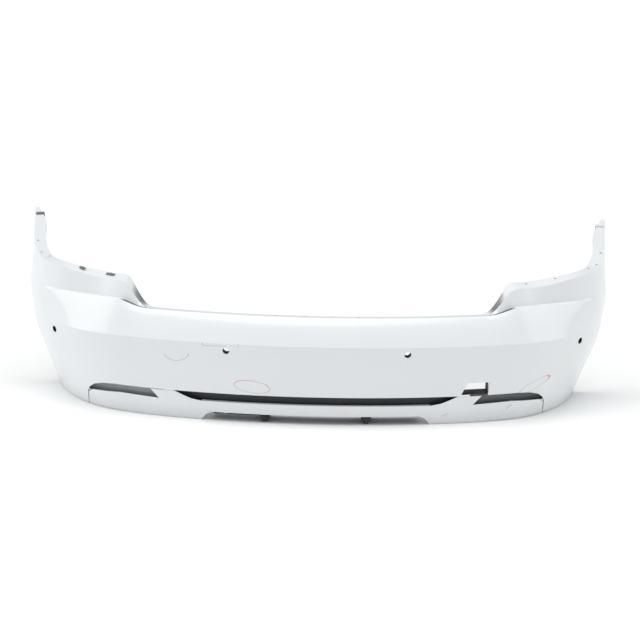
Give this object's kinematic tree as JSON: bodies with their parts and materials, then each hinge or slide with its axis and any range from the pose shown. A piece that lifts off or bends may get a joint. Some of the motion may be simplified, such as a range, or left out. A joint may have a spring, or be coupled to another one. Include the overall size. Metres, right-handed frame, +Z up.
{
  "type": "rear bumper cover",
  "caption": "White painted rear bumper cover with lamp ledges, side wings, dark vents and slot, sensor holes, tow-eye notch and small lower fins.",
  "frame": {"origin": "under the middle of the whole cover, on the surface it stands on", "axes": "+X to the right seen from behind the car, +Y forward into the car, +Z up"},
  "size_m": [1.7624, 0.65, 0.4904],
  "materials": {
    "white_paint": "gloss white body paint",
    "black_plastic": "fine-grained black",
    "dark_grain_plastic": "dark grey, grained",
    "pale_plastic": "pale moulded plastic",
    "clip_plastic": "dusty black",
    "zinc_steel": "zinc plated"
  },
  "bodies": {
    "root": {"cover_shell": "white_paint", "lower_valance": "white_paint", "diffuser_insert": "black_plastic", "vent_panel_right": "dark_grain_plastic", "vent_panel_left": "dark_grain_plastic", "tow_eye_frame": "black_plastic", "sensor_holder_inner_left": "black_plastic", "sensor_holder_outer_left": "black_plastic", "sensor_holder_inner_right": "black_plastic", "sensor_holder_outer_right": "black_plastic", "top_rail": "black_plastic", "side_guide_right": "pale_plastic", "side_guide_left": "pale_plastic", "arch_nuts_left": "zinc_steel", "arch_nuts_right": "zinc_steel", "lamp_ledge_clips": "clip_plastic", "valance_screws": "zinc_steel", "insert_screws": "zinc_steel", "wing_tip_clip_left": "clip_plastic", "wing_tip_clip_right": "pale_plastic"}
  },
  "joints": []
}
